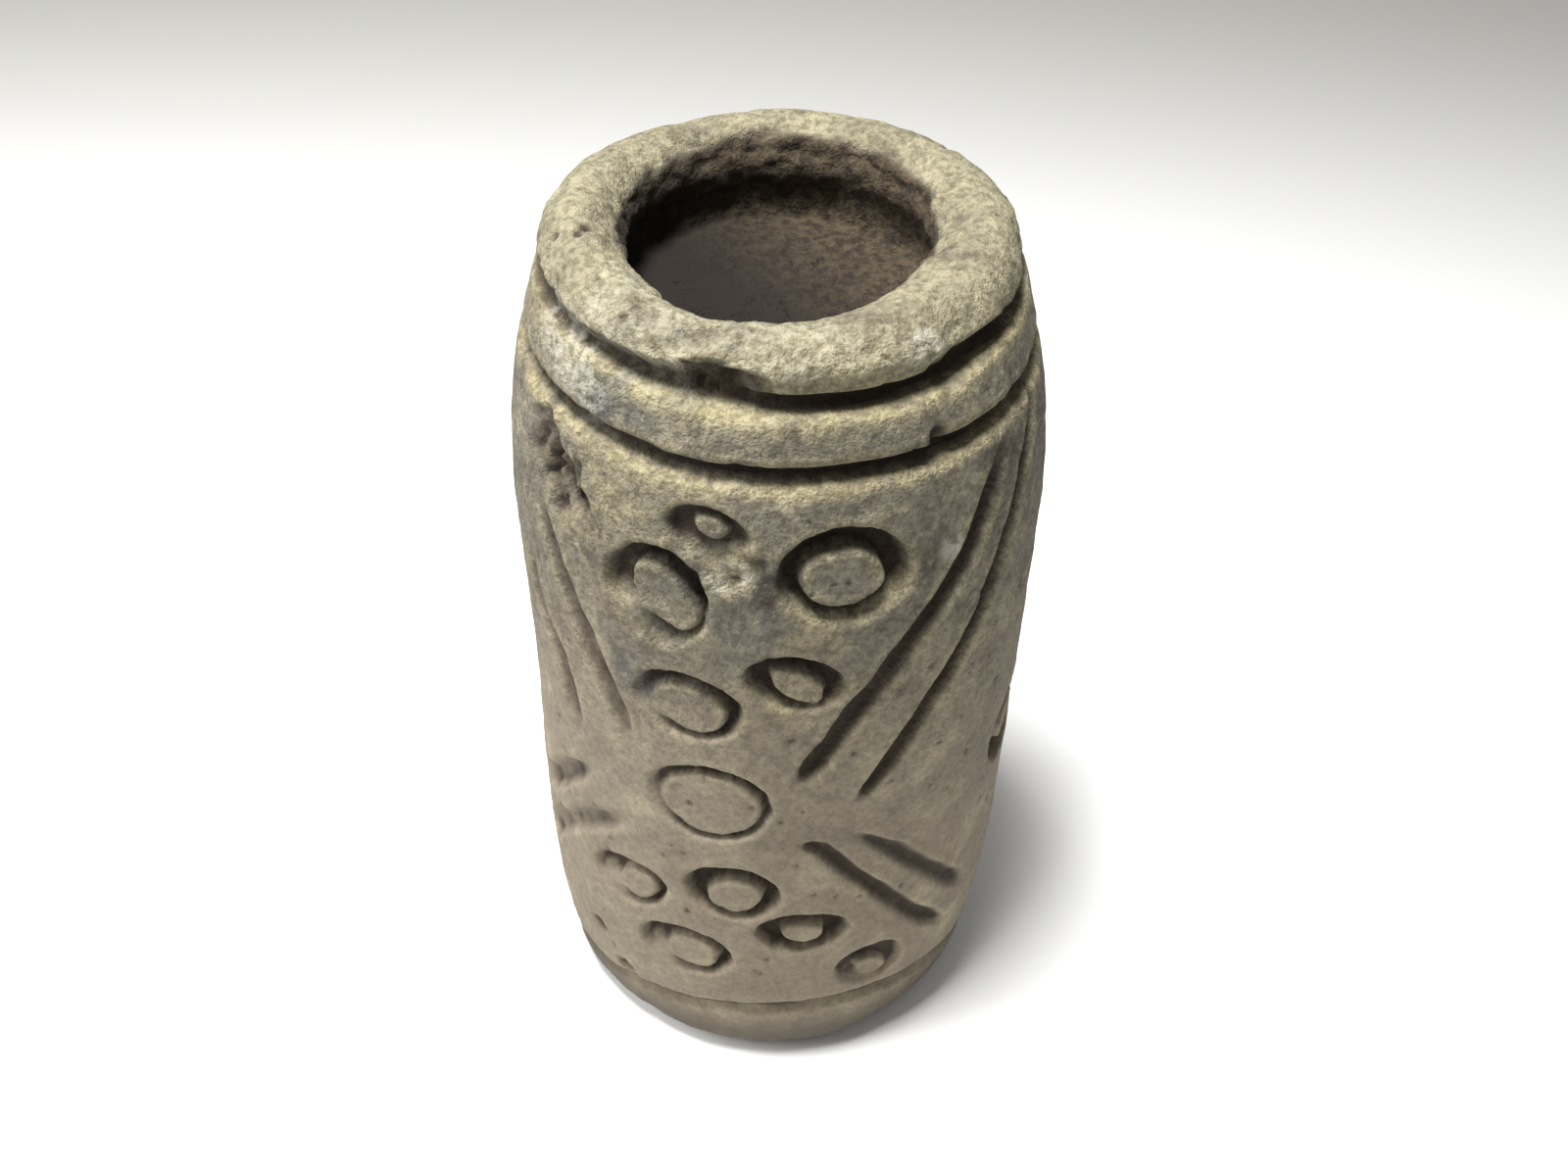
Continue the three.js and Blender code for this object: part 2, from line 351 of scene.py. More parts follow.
@dataclass(frozen=True)
class CutLine:
    """A line cut round the seal against a steep upper wall, with a gentle lower lip."""

    height: float
    wander: float
    crest: float
    depth: float
    floor: float
    upper: float
    lower: float
    seed: int
    deepest: float = -60.0
    uneven: float = 0.25

    def press(self, skin: Skin) -> None:
        """Cuts the line into the skin and stains it, with painted shade on its upper wall and painted light on its
        lower lip.

        Args:
            skin: The vertices to cut.
        """
        noise = ClayNoise(self.seed)
        loop = np.stack([np.cos(np.radians(skin.azimuth)), np.sin(np.radians(skin.azimuth)), 0 * skin.z], 1) * 16
        middle = self.height + self.wander * np.cos(2 * np.radians(skin.azimuth - self.crest))
        middle = middle + 0.16 * noise.at(loop, 5.0) + 0.05 * noise.at(loop, 1.4)
        frayed = 1 + 0.3 * noise.at(skin.points, 1.1)
        off = skin.z - middle
        side = np.cos(np.radians(turn_between(skin.azimuth, self.deepest)))
        deep = self.depth * (1 + self.uneven * side + 0.18 * noise.at(loop, 4.0))
        above = 1 - smoothstep(self.floor / 2, self.floor / 2 + self.upper * frayed, off)
        below = 1 - smoothstep(self.floor / 2, self.floor / 2 + self.lower * frayed, -off)
        shape = np.where(off > 0, above, below)
        reach = np.where(skin.inside > 0, 0, 1)
        skin.relief -= deep * shape * reach
        # Dirt with painted shade: the cut is darkened further up its steep upper wall, which lies in shade, than over
        # its lit lower lip.
        groove_darkening = smoothstep(np.where(off > 0, 0.3, 0.8), np.where(off > 0, 0.9, 1.0), shape)
        skin.stain = np.maximum(skin.stain, groove_darkening * reach)
        # Ochre rubbing with painted light: ochre is laid along the lit lower lip below the cut.
        lip = np.exp(-(((off + self.floor / 2 + self.lower * 0.8) / 0.5) ** 2)) * reach
        skin.ochre = np.maximum(skin.ochre, lip * 0.85)


@dataclass(frozen=True)
class Oval:
    """An ellipse on the unrolled wall: middle, half-lengths in millimetres and tilt in degrees."""

    azimuth: float
    z: float
    long: float
    short: float
    tilt: float = 0.0

    def reach(self, skin: Skin, some: Array) -> tuple[Array, Array, Array]:
        """How some vertices lie about the oval.

        Args:
            skin: The skin they belong to.
            some: Their indices.

        Returns:
            Their distance outside its edge, and their directions right and up from its middle.
        """
        across = np.radians(turn_between(skin.azimuth[some], self.azimuth)) * 16.0
        up = skin.z[some] - self.z
        turn = math.radians(self.tilt)
        u = across * math.cos(turn) + up * math.sin(turn)
        v = up * math.cos(turn) - across * math.sin(turn)
        scaled = np.sqrt((u / self.long) ** 2 + (v / self.short) ** 2) + 1e-6
        span = np.sqrt(u * u + v * v) + 1e-6
        edge = span * (1 - 1 / scaled)
        return edge, across / span, up / span


@dataclass(frozen=True)
class ReedRing:
    """The print of a hollow reed held askew: a knob left standing in a hollow."""

    knob: Oval
    hollow: Oval
    depth: float
    seed: int
    sunk: float = 0.12
    lower_lip: float = 0.75
    gap: float = 225.0
    gap_share: float = 0.0
    edge: float = 0.32

    def press(self, skin: Skin) -> None:
        """Presses the ring into the skin.

        Args:
            skin: The vertices to press.
        """
        noise = ClayNoise(self.seed)
        turn = math.radians(self.hollow.azimuth)
        centre = np.array([16 * math.cos(turn), 16 * math.sin(turn), self.hollow.z])
        some = skin.near(centre, self.hollow.long + 3.0)
        points = skin.points[some]
        wobble = 0.14 * noise.at(points, 1.6) + 0.07 * noise.at(points, 0.7)
        inner, _, _ = self.knob.reach(skin, some)
        outer, right, up = self.hollow.reach(skin, some)
        inner = inner + wobble + 0.1
        outer = outer + 0.12 * noise.at(points, 1.3) - 0.12
        low = smoothstep(-0.25, 0.7, -up + 0.15 * noise.at(points, 1.5)) * np.clip((self.lower_lip - 0.35) / 0.8, 0, 1)
        share = np.clip(inner / np.maximum(inner - outer, 0.05), 0, 1)
        steep = smoothstep(0.0, self.edge, -outer)
        ramp = np.minimum(1 - 0.95 * share, steep)
        wall = steep + (ramp - steep) * low
        hollow = np.minimum(wall, smoothstep(0.0, self.edge, inner))
        bearing = np.degrees(np.arctan2(up, right))
        open_side = np.exp(-((turn_between(bearing, self.gap) / 50.0) ** 2))
        hollow = hollow * (1 - self.gap_share * open_side)
        sunk = self.sunk * smoothstep(0.1, -0.5, inner)
        lip = np.exp(-(((outer - 0.28) / 0.25) ** 2)) * (0.5 + 0.5 * noise.at(points, 1.0))
        skin.relief[some] -= 1.45 * self.depth * hollow + sunk
        skin.relief[some] += 0.07 * np.clip(lip, 0, 1)
        # Dirt with painted shade in the ring's hollow, kept off the lit lower slope.
        deep = smoothstep(0.45, 0.9, hollow) * (1 - low * smoothstep(0.25, 0.6, share))
        skin.stain[some] = np.maximum(skin.stain[some], deep)
        # Painted light: ochre laid on the lit lower outer slope of the ring.
        lit_slope_painted_light = low * smoothstep(0.3, 0.6, share) * smoothstep(0.35, -0.25, outer)
        skin.ochre[some] = np.maximum(skin.ochre[some], lit_slope_painted_light)


@dataclass(frozen=True)
class StylusStroke:
    """A line drawn with a stylus, through points of azimuth in degrees and height."""

    route: tuple[tuple[float, float], ...]
    width: float
    depth: float
    seed: int
    fade_start: float = 3.0
    fade_end: float = 2.5
    dirt: float = 1.0

    def press(self, skin: Skin) -> None:
        """Draws the stroke through the skin.

        Args:
            skin: The vertices to cut.
        """
        noise = ClayNoise(self.seed)
        stops = np.array([(math.radians(a) * 16.0, z) for a, z in self.route])
        steps = np.linalg.norm(np.diff(stops, axis=0), axis=1)
        total = steps.sum()
        low, high = stops.min(0) - 2.0, stops.max(0) + 2.0
        along = skin.along
        inside = (along > low[0]) & (along < high[0]) & (skin.z > low[1]) & (skin.z < high[1])
        some = np.nonzero(inside & (skin.wall > 0))[0]
        place = np.stack([along[some], skin.z[some]], 1)
        points = skin.points[some]
        place = place + 0.1 * np.stack([noise.at(points, 2.2), noise.at(points + 50, 2.2)], 1)
        best = np.full(len(some), 1e9)
        reached = np.zeros(len(some))
        before = 0.0
        for start, stop, step in zip(stops, stops[1:], steps):
            t = np.clip(((place - start) @ (stop - start)) / step**2, 0, 1)
            gap = np.linalg.norm(place - start - t[:, None] * (stop - start), axis=1)
            closer = gap < best
            best = np.where(closer, gap, best)
            reached = np.where(closer, before + t * step, reached)
            before += step
        ends = np.minimum(smoothstep(-0.5, self.fade_start, reached), smoothstep(-0.5, self.fade_end, total - reached))
        half = 0.62 * self.width * (0.45 + 0.55 * ends) * (1 + 0.14 * noise.at(points, 2.5))
        shape = 1 - smoothstep(0.3, 1.2, best / half)
        burr = np.exp(-(((best - half * 1.35) / 0.22) ** 2)) * ends
        skin.relief[some] -= self.depth * shape * ends * (1 + 0.15 * noise.at(points, 3.0))
        skin.relief[some] += 0.06 * burr
        groove_darkening = self.dirt * smoothstep(0.15, 0.65, shape * ends)
        skin.stain[some] = np.maximum(skin.stain[some], groove_darkening)
        skin.wear[some] = np.maximum(skin.wear[some], 0.5 * burr)


class Tint(Enum):
    """What a patch of colour is made of."""

    STAIN = "stain"
    ASH = "ash"
    LIME = "lime"
    OCHRE = "ochre"


@dataclass(frozen=True)
class Patch:
    """A soft-edged patch of one tint."""

    tint: Tint
    centre: Array
    radius: float
    strength: float = 1.0
    flat: float = 1.0

    def lay(self, skin: Skin, ragged: Array) -> None:
        """Lays the patch over the skin.

        Args:
            skin: The vertices to tint.
            ragged: Noise at the vertices that breaks up the patch's edge.
        """
        gap = (skin.points - self.centre) * np.array([1.0, 1.0, self.flat])
        distance = np.sqrt((gap * gap).sum(1)) * (1 + 0.55 * ragged)
        cover = self.strength * (1 - smoothstep(self.radius * 0.35, self.radius, distance))
        layer = getattr(skin, self.tint.value)
        np.maximum(layer, cover, out=layer)


@dataclass(frozen=True)
class Scar:
    """A chip, dent or rough scoop out of the surface."""

    centre: Array
    radius: float
    depth: float
    rough: float = 0.3
    flat: float = 1.0
    stain: float = 0.0

    def press(self, skin: Skin, noise: ClayNoise) -> None:
        """Takes the scar out of the skin.

        Args:
            skin: The vertices to cut.
            noise: Roughens the scar's floor and edge.
        """
        gap = (skin.points - self.centre) * np.array([1.0, 1.0, self.flat])
        distance = np.sqrt((gap * gap).sum(1))
        some = np.nonzero(distance < self.radius * 1.6)[0]
        points = skin.points[some]
        frayed = distance[some] * (1 + 0.35 * noise.layered(points, 1.3, 2))
        cover = 1 - smoothstep(self.radius * 0.45, self.radius, frayed)
        floor = 1 + self.rough * noise.layered(points, 0.7, 2)
        skin.relief[some] -= self.depth * cover * floor
        skin.stain[some] = np.maximum(skin.stain[some], self.stain * cover)


# ---- The seal ----


def ring_prints() -> list[ReedRing]:
    """Reed rings of the front field, then the plainer ones of the sides and the back."""
    front = [
        ReedRing(Oval(-103.0, 49.1, 0.95, 0.65, -20), Oval(-103.4, 48.7, 2.4, 1.5, -10), 0.5, 11, 0.3, 0.9),
        ReedRing(Oval(-76.8, 46.0, 2.45, 1.75, -3), Oval(-76.2, 46.1, 3.7, 3.0, -6), 1.15, 12, 0.15, 1.25),
        ReedRing(Oval(-111.9, 44.0, 2.4, 1.5, -44), Oval(-114.4, 43.9, 3.3, 3.1, 78), 0.95, 13, 0.25, 1.0, 232, 1.0),
        ReedRing(Oval(-107.8, 36.0, 2.25, 1.75, -10), Oval(-108.4, 36.2, 3.2, 2.5, -4), 0.85, 14, 0.15, 0.7, 205, 0.85),
        ReedRing(Oval(-85.4, 38.5, 1.9, 0.95, -38), Oval(-85.8, 38.8, 2.9, 1.85, -16), 0.9, 15, 0.2, 1.0),
        ReedRing(Oval(-103.6, 28.0, 3.1, 2.65, 0), Oval(-104.3, 28.1, 3.85, 3.25, 5), 0.55, 16, 0.15, 0.6, 195, 0.6),
        ReedRing(Oval(-122.8, 17.6, 1.6, 1.3, 30), Oval(-126.0, 17.4, 3.2, 2.1, 25), 0.75, 17, 0.1, 0.6, 230, 0.9),
        ReedRing(Oval(-98.3, 19.4, 1.9, 1.5, 12), Oval(-98.8, 19.7, 3.1, 2.45, -4), 0.95, 18, 0.1, 0.6, 235, 0.3),
        ReedRing(Oval(-108.5, 12.5, 1.85, 1.5, -27), Oval(-110.6, 12.5, 3.3, 2.35, 0), 0.85, 19, 0.1, 0.6, 225, 0.8),
        ReedRing(Oval(-81.9, 15.7, 1.45, 0.95, -10), Oval(-82.0, 15.75, 3.1, 1.9, -4), 0.85, 20, 0.1, 0.5),
        ReedRing(Oval(-63.2, 10.1, 1.5, 0.85, -40), Oval(-63.8, 10.5, 2.6, 2.1, -22), 0.5, 21, 0.1, 0.6, 270, 0.6),
    ]
    sides = [
        ReedRing(Oval(azimuth, 25.7, 1.9, 1.7), Oval(azimuth, 25.7, 3.3, 3.1), 1.0, 30 + i, 0.12, 0.4, edge=edge)
        for i, (azimuth, edge) in enumerate(((-18.0, 0.32), (170.0, 0.6)))
    ]
    back = []
    heights = (12.0, 19.0, 27.5, 36.0, 44.0)
    for i, height in enumerate(heights):
        lean = 1 if i % 2 == 0 else -1
        azimuth = 80.0 + lean * 13.0 * abs(height - heights[2]) / heights[2]
        knob, hollow = Oval(azimuth + 1.0, height, 1.7, 1.45, -10), Oval(azimuth, height, 2.8, 2.6)
        back.append(ReedRing(knob, hollow, 0.65, 40 + i, 0.1, 0.6, 225, 0.3, 0.75))
    return front + sides + back


def stylus_strokes() -> list[StylusStroke]:
    """Paired strokes that frame the side fields, the front ones first."""
    upper = ((-36.0, 51.0), (-49.2, 44.9), (-61.5, 40.9), (-73.4, 35.9), (-85.5, 30.2))
    upper_twin = ((-21.0, 52.4), (-33.0, 45.7), (-42.6, 40.2), (-56.1, 35.1), (-65.6, 30.6), (-72.0, 28.0))
    lower = ((-83.6, 24.9), (-82.5, 24.6), (-79.2, 24.3), (-65.5, 19.1), (-49.1, 13.0), (-38.0, 9.8))
    lower_twin = ((-75.5, 26.2), (-61.0, 22.3), (-47.5, 17.6), (-33.0, 12.8))
    left = ((-157.0, 42.0), (-150.8, 36.8), (-144.6, 34.8), (-138.0, 29.0))
    left_twin = ((-147.0, 46.0), (-139.8, 42.2), (-128.6, 35.7), (-122.0, 31.0))
    left_low = ((-165.0, 17.6), (-145.1, 23.7), (-134.0, 26.8))
    left_low_twin = ((-165.0, 12.0), (-150.0, 17.5), (-138.0, 20.7), (-123.5, 24.2))
    front = [
        StylusStroke(upper, 1.3, 0.9, 51),
        StylusStroke(upper_twin, 1.15, 0.85, 52),
        StylusStroke(lower, 1.1, 0.7, 53, 1.0, 4.0, 0.65),
        StylusStroke(lower_twin, 1.15, 0.62, 54, 6.0, 3.0, 0.6),
        StylusStroke(left, 1.3, 0.45, 55, 3.0, 3.0, 0.5),
        StylusStroke(left_twin, 1.4, 0.45, 56, 3.0, 3.0, 0.5),
        StylusStroke(left_low, 1.6, 0.7, 57, 2.0, 4.0, 0.2),
        StylusStroke(left_low_twin, 1.5, 0.5, 58, 2.0, 4.0, 0.2),
    ]
    facing = [
        ((20.0, 50.0), (38.0, 40.5), (56.0, 30.0)),
        ((4.0, 51.5), (24.0, 38.8), (44.0, 28.0)),
        ((56.0, 25.4), (37.0, 18.6), (18.0, 10.6)),
        ((43.0, 25.4), (28.5, 20.0), (14.0, 13.4)),
        ((136.0, 49.5), (120.0, 39.0), (104.0, 30.0)),
        ((150.0, 50.5), (133.5, 38.5), (117.0, 28.5)),
        ((104.0, 25.4), (123.0, 18.8), (142.0, 10.8)),
        ((117.0, 25.4), (132.0, 20.2), (147.0, 13.6)),
    ]
    back = [StylusStroke(route, 1.7, 0.6, 60 + i, dirt=0.7) for i, route in enumerate(facing)]
    return front + back


@dataclass(frozen=True)
class FiredClay:
    """Unglazed low-fired earthenware, smoothed by hand and long buried.

    A dull grey-olive body with no gloss; soil sits dark in the cuts, hollows and recess, together with painted shade
    there, edges are rubbed to pale ochre, the same ochre is painted as light on lit lower lips, fire clouds are bluish
    and lime leaves whitish crusts.
    """

    upper: str = "#726c5f"
    body: str = "#817868"
    warm: str = "#7f7565"
    rim: str = "#87816a"
    pale: str = "#a8a085"
    dark: str = "#4b453c"
    # Colour of the stain layer, which is dirt and painted shade.
    stain: str = "#30261f"
    # Colour of the ochre rubbing, also used as painted light on lit lower lips.
    ochre: str = "#9e9472"
    ash: str = "#545350"
    lime: str = "#b6b3a6"
    fleck: str = "#b3aa8a"
    # The recess's darkest colour: dark soil, darkened further as painted shade.
    soil_and_painted_shade: str = "#1e1814"
    # Shaded and lit copies of the recess soil, which give the recess its painted shade and painted light.
    soil_in_painted_shade: str = "#1b1613"
    soil_in_painted_light: str = "#4d4333"
    grain_mm: float = 0.2
    mottle_mm: float = 3.5
    cloud_mm: float = 14.0
    bump_mm: float = 0.22


@dataclass
class Seal:
    """The whole seal: a turned blank, its marks, its wear and its clay."""

    barrel: Barrel = field(default_factory=Barrel)
    clay: FiredClay = field(default_factory=FiredClay)
    arcs: tuple[tuple[float, int], ...] = ((12, 8), (156, 196), (24, 20), (156, 77), (12, 8))

    def build(self) -> bpy.types.Object:
        """Makes the finished piece.

        Returns:
            The seal as one closed mesh with its material.
        """
        piece = self.turned_blank()
        skin = self.read(piece)
        self.press_marks(skin)
        self.roughen(skin)
        self.write(piece, skin)
        select_only(piece)
        bpy.ops.object.modifier_add(type="TRIANGULATE")
        piece.modifiers[-1].quad_method = "SHORTEST_DIAGONAL"
        bpy.ops.object.modifier_apply(modifier=piece.modifiers[-1].name)
        bpy.ops.object.shade_smooth()
        piece.data.materials.append(clay_material(self.clay))
        return piece

    def turned_blank(self) -> bpy.types.Object:
        """Spins the outline round the axis arc by arc, finely in front and more coarsely behind."""
        outline = [(r * MM, z * MM) for r, z in self.barrel.outline()]
        bpy.ops.object.select_all(action="DESELECT")
        bpy.ops.mesh.primitive_plane_add(size=0.001)
        piece = bpy.context.object
        piece.name = "cylinder_seal"
        bpy.ops.object.mode_set(mode="EDIT")
        bpy.ops.mesh.merge(type="CENTER")
        for (r0, z0), (r1, z1) in zip(outline, outline[1:]):
            bpy.ops.mesh.extrude_region_move(TRANSFORM_OT_translate={"value": (r1 - r0, 0, z1 - z0)})
        bpy.ops.mesh.select_all(action="SELECT")
        for degrees, steps in self.arcs:
            bpy.ops.mesh.spin(steps=steps, angle=math.radians(degrees), center=(0, 0, 0), axis=(0, 0, 1))
        bpy.ops.mesh.select_all(action="SELECT")
        bpy.ops.mesh.remove_doubles(threshold=1e-6)
        bpy.ops.mesh.normals_make_consistent(inside=False)
        bpy.ops.object.mode_set(mode="OBJECT")
        return piece

    def read(self, piece: bpy.types.Object) -> Skin:
        """Reads the blank's vertices in millimetres."""
        points = np.zeros(len(piece.data.vertices) * 3)
        piece.data.vertices.foreach_get("co", points)
        return Skin.of(points.reshape(-1, 3) / MM, self.barrel)

    def press_marks(self, skin: Skin) -> None:
        """Cuts and presses the design into the skin.

        Args:
            skin: The blank's vertices.
        """
        for line in (
            CutLine(5.4, 1.9, -80, 0.5, 0.35, 0.25, 1.2, 5, -90.0, 0.2),
            CutLine(52.65, 0.3, 0, 1.1, 0.42, 0.14, 1.0, 6, -50.0, 0.15),
            CutLine(56.45, 0.55, 10, 1.05, 0.5, 0.2, 0.75, 7, -40.0, 0.45),
        ):
            line.press(skin)
        for mark in [*ring_prints(), *stylus_strokes()]:
            mark.press(skin)

    def roughen(self, skin: Skin) -> None:
        """Adds the hand-made unevenness, scars, pores and patches.

        Args:
            skin: The vertices with the design on them.
        """
        noise = ClayNoise(101)
        fine = ClayNoise(102)
        points = skin.points
        foot = smoothstep(0.0, 1.5, skin.z)
        skin.relief += foot * 0.16 * noise.at(points, (9.0, 9.0, 16.0))
        skin.relief += foot * 0.07 * noise.layered(points, 3.2, 2)
        rim = skin.roll
        skin.relief += rim * (0.22 * noise.at(points + 11, 6.0) + 0.1 * fine.at(points, 2.4))
        coarse = 0.05 * fine.layered(points, 0.9, 2)
        skin.relief += coarse * (0.5 + 0.9 * rim + 3.4 * skin.inside)
        skin.relief += 0.16 * skin.inside * fine.layered(points + 23, 1.5, 2)
        flake = np.clip(fine.layered(points + 5, 1.6, 3), -0.3, 0.6)
        skin.relief -= (0.12 * rim + 0.05 * skin.wall) * smoothstep(0.22, 0.5, flake)
        for scar in self.scars():
            scar.press(skin, fine)
        self.pores(skin)
        ragged = noise.layered(points, 2.4, 3)
        for patch in self.patches():
            patch.lay(skin, ragged)

    def scars(self) -> list[Scar]:
        """Chips, dents and rough scoops, front ones first."""
        on, over = self.barrel.on_wall, self.barrel.on_roll
        scars = [
            Scar(on(-105.0, 57.2), 1.9, 0.7, 0.6, 1.0, 1.0),
            Scar(on(-98.0, 57.0), 1.8, 0.4, 0.5, 1.3, 0.9),
            Scar(on(-97.5, 46.6), 2.1, 0.45, 0.4, 1.3, 0.0),
            Scar(over(80, 150), 1.3, 0.25, 0.9, 1.0, 0.1),
            Scar(over(100, 145), 1.5, 0.25, 0.9, 1.0, 0.1),
            Scar(over(123, 150), 1.6, 0.25, 0.9, 1.0, 0.1),
            Scar(over(56, 150), 1.2, 0.25, 0.9, 1.0, 0.1),
            Scar(over(-111, 55), 1.1, 0.22, 0.3, 2.0, 0.3),
            Scar(over(-106, 70), 0.8, 0.2, 0.2, 1.0, 0.3),
            Scar(over(-122, 60), 1.0, 0.15, 0.3, 1.0, 0.2),
            Scar(over(-165, 100), 0.45, 0.3, 0.2, 1.0, 1.0),
            Scar(over(-162, 85), 0.4, 0.3, 0.2, 1.0, 1.0),
            Scar(over(-166, 52), 0.4, 0.3, 0.2, 1.0, 0.9),
            Scar(on(-55.9, 53.15), 0.75, 0.6, 0.3, 1.0, 0.9),
            Scar(on(-145.0, 49.6), 2.0, 0.5, 1.0, 0.8, 0.6),
            Scar(on(-139.5, 47.9), 2.0, 0.5, 1.0, 0.8, 0.5),
            Scar(on(-132.8, 47.8), 0.9, 0.55, 0.3, 1.0, 0.8),
            Scar(on(-137.9, 9.5), 0.8, 0.45, 0.2, 1.0, 1.0),
            Scar(on(-130.0, 6.3), 1.0, 0.4, 0.4, 1.4, 0.7),
            Scar(on(-91.0, 45.2), 0.9, 0.25, 0.3, 0.5, 0.6),
            Scar(on(60.0, 50.0), 1.6, 0.3, 0.6, 1.0, 0.3),
            Scar(on(110.0, 8.0), 2.0, 0.3, 0.5, 1.0, 0.2),
            Scar(on(20.0, 40.0), 1.1, 0.2, 0.5, 1.0, 0.2),
        ]
        return scars

    def patches(self) -> list[Patch]:
        """Tints that lie in one place, front ones first."""
        on, over = self.barrel.on_wall, self.barrel.on_roll
        return [
            Patch(Tint.ASH, on(-107.0, 46.2), 3.4, 0.8),
            Patch(Tint.ASH, on(-102.0, 44.6), 2.6, 0.9),
            Patch(Tint.ASH, on(-91.0, 45.0), 1.9, 1.0, 0.6),
            Patch(Tint.ASH, on(-120.0, 37.0), 2.6, 0.8),
            Patch(Tint.ASH, on(-116.0, 40.0), 4.2, 0.6),
            Patch(Tint.ASH, on(-130.0, 54.3), 2.6, 1.0, 1.4),
            Patch(Tint.ASH, on(-121.0, 54.0), 2.2, 0.9, 1.8),
            Patch(Tint.ASH, on(-98.0, 41.0), 4.0, 0.45),
            Patch(Tint.ASH, on(-70.0, 41.0), 4.5, 0.3),
            Patch(Tint.LIME, on(-56.1, 57.6), 1.4, 0.6),
            Patch(Tint.LIME, on(-53.5, 46.2), 1.2, 0.5),
            Patch(Tint.LIME, on(-139.5, 55.0), 1.1, 0.6),
            Patch(Tint.LIME, on(-98.0, 46.2), 1.6, 0.6, 1.6),
            Patch(Tint.LIME, over(-122, 62), 6.0, 0.22),
            Patch(Tint.LIME, over(-88, 60), 4.5, 0.16),
            Patch(Tint.LIME, on(-142.0, 55.4), 3.4, 0.6),
            Patch(Tint.OCHRE, on(-124.0, 49.5), 4.0, 0.6),
            Patch(Tint.OCHRE, on(-98.0, 46.4), 2.6, 1.0, 1.4),
            Patch(Tint.OCHRE, on(-134.0, 46.6), 2.4, 0.7),
            Patch(Tint.OCHRE, on(-86.0, 36.4), 1.9, 0.9),
            Patch(Tint.OCHRE, on(-82.0, 42.6), 2.4, 0.7),
            Patch(Tint.OCHRE, on(-107.0, 41.5), 2.6, 0.7),
            Patch(Tint.ASH, on(70.0, 30.0), 6.0, 0.5),
            Patch(Tint.ASH, on(130.0, 44.0), 4.0, 0.5),
            Patch(Tint.LIME, on(100.0, 20.0), 2.0, 0.5),
        ]

    def pores(self, skin: Skin) -> None:
        """Opens small pores: sparse on the wall, close on the rim and in the recess.

        Args:
            skin: The vertices to cut.
        """
        draw = np.random.default_rng(7)
        barrel = self.barrel
        spots: list[tuple[Array, float, float]] = []
        for _ in range(420):
            azimuth, z = draw.uniform(-180, 180), draw.uniform(4, 56)
            spots.append((barrel.on_wall(azimuth, z), draw.uniform(0.16, 0.34), draw.uniform(0.08, 0.2)))
        for _ in range(380):
            azimuth, over = draw.uniform(-180, 180), draw.uniform(10, 160)
            spots.append((barrel.on_roll(azimuth, over), draw.uniform(0.12, 0.28), draw.uniform(0.05, 0.16)))
        for _ in range(160):
            turn, r = draw.uniform(0, 2 * math.pi), 9.0 * math.sqrt(draw.uniform(0, 1))
            centre = np.array([r * math.cos(turn), r * math.sin(turn), barrel.floor])
            spots.append((centre, draw.uniform(0.2, 0.5), draw.uniform(0.1, 0.3)))
        for centre, radius, depth in spots:
            low = centre - radius
            high = centre + radius
            window = (skin.points[:, 2] > low[2]) & (skin.points[:, 2] < high[2])
            some = np.nonzero(window)[0]
            gap = skin.points[some] - centre
            distance = np.sqrt((gap * gap).sum(1))
            hit = distance < radius
            picked = some[hit]
            cover = 1 - smoothstep(radius * 0.3, radius, distance[hit])
            skin.relief[picked] -= depth * cover
            skin.stain[picked] = np.maximum(skin.stain[picked], 0.6 * cover)

    def write(self, piece: bpy.types.Object, skin: Skin) -> None:
        """Moves the vertices by their relief and stores the tints on them, the painted shade of the hollows among them.

        Args:
            piece: The blank.
            skin: Its vertices with their relief.
        """
        mesh = piece.data
        normals = np.zeros(len(mesh.vertices) * 3)
        mesh.vertices.foreach_get("normal", normals)
        near = Neighbours.of(mesh)
        relief = 0.6 * skin.relief + 0.4 * near.mean(skin.relief)
        moved = skin.points + normals.reshape(-1, 3) * relief[:, None]
        moved = self.shape_by_hand(skin, moved)
        base = skin.z < 1e-6
        moved[base, 2] = 0.0
        moved[:, 2] = np.clip(moved[:, 2], 0.0, None)
        mesh.vertices.foreach_set("co", (moved * MM).ravel())
        mesh.update()
        hollow = self.hollowness(mesh, moved, near)
        # Painted shade: every hollow is darkened through the stain layer, while convex places gain wear.
        skin.stain = np.clip(skin.stain + 0.9 * smoothstep(0.015, 0.07, hollow), 0, 1)
        skin.wear = np.clip(skin.wear + smoothstep(0.012, 0.07, -hollow), 0, 1)
        layers = {
            "stain": skin.stain,
            "wear": skin.wear,
            "ash": skin.ash,
            "lime": skin.lime,
            "ochre": skin.ochre,
            "soil_and_painted_shade": skin.inside,
            "rim": np.maximum(skin.roll * (1 - skin.inside), self.band(skin)),
        }
        for name, values in layers.items():
            layer = mesh.attributes.new(name, "FLOAT", "POINT")
            layer.data.foreach_set("value", values.astype(np.float32))

    @staticmethod
    def band(skin: Skin) -> Array:
        """How strongly the pale tone of the rim runs on over the band below it."""
        upper = smoothstep(53.4, 55.2, skin.z) * (1 - smoothstep(56.2, 57.0, skin.z))
        left = 0.75 + 0.25 * np.cos(np.radians(turn_between(skin.azimuth, -150)))
        return skin.wall * upper * left

